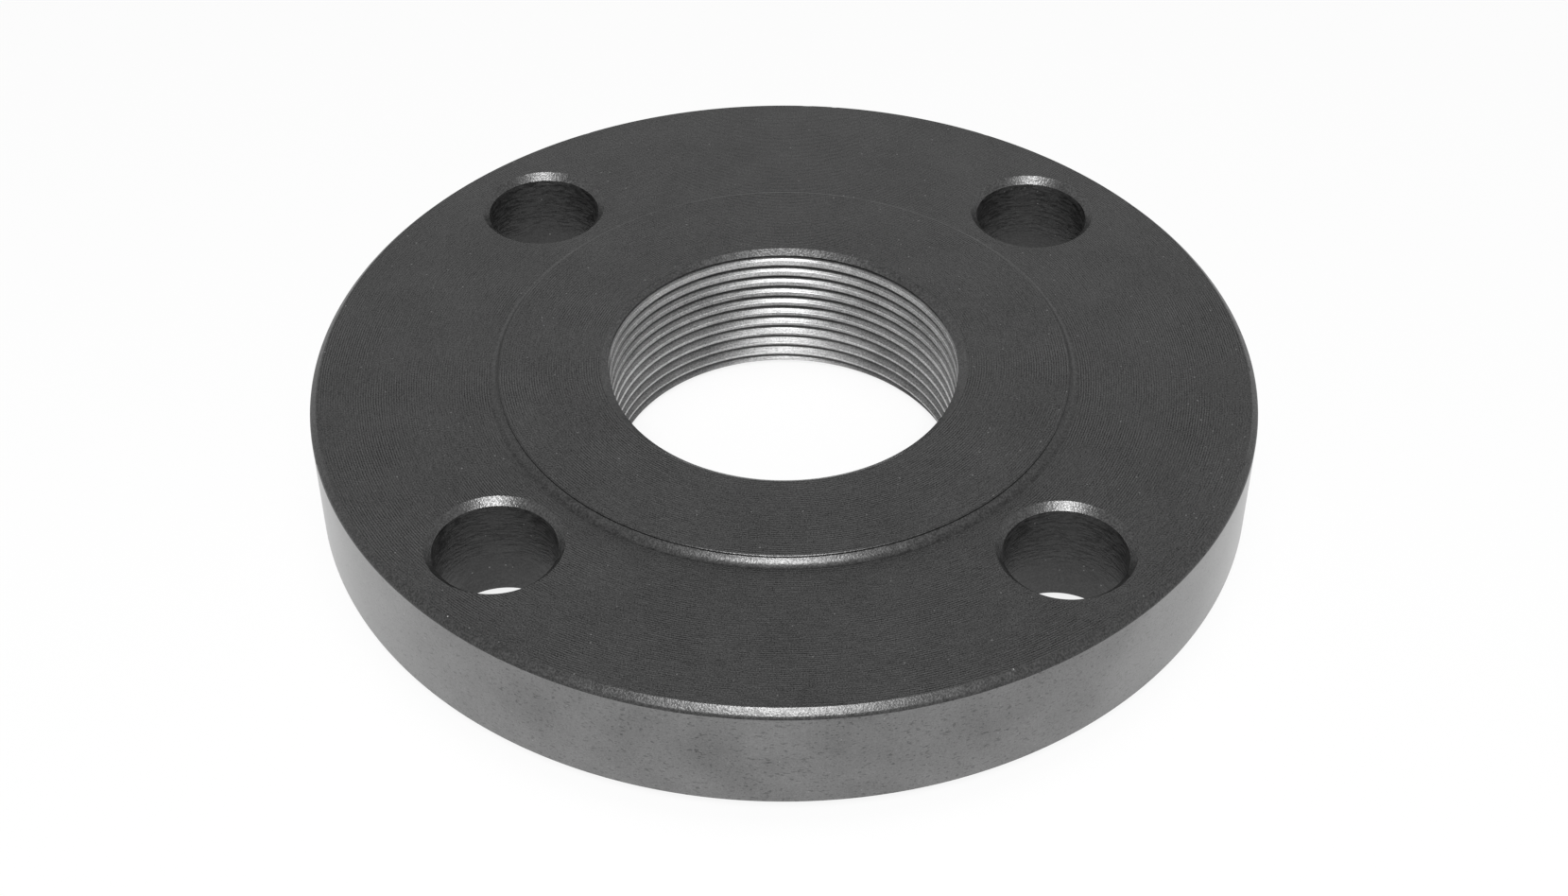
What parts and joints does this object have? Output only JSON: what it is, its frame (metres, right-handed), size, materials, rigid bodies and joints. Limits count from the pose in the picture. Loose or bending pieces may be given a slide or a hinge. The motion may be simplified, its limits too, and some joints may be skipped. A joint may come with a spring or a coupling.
{
  "type": "threaded pipe flange",
  "caption": "Round steel pipe flange with a raised gasket face, a tapered internal pipe thread, a low rear hub and bolt holes around the bore.",
  "frame": {"origin": "centre of the hub's end face, which the flange lies on", "axes": "+Z along the bore axis, from the hub to the raised face; the bolt holes straddle X and Y"},
  "size_m": [0.1524, 0.1524, 0.0255],
  "materials": {
    "machined_steel": "turned dark steel, satin"
  },
  "bodies": {
    "root": {"flange": "machined_steel"}
  },
  "joints": []
}
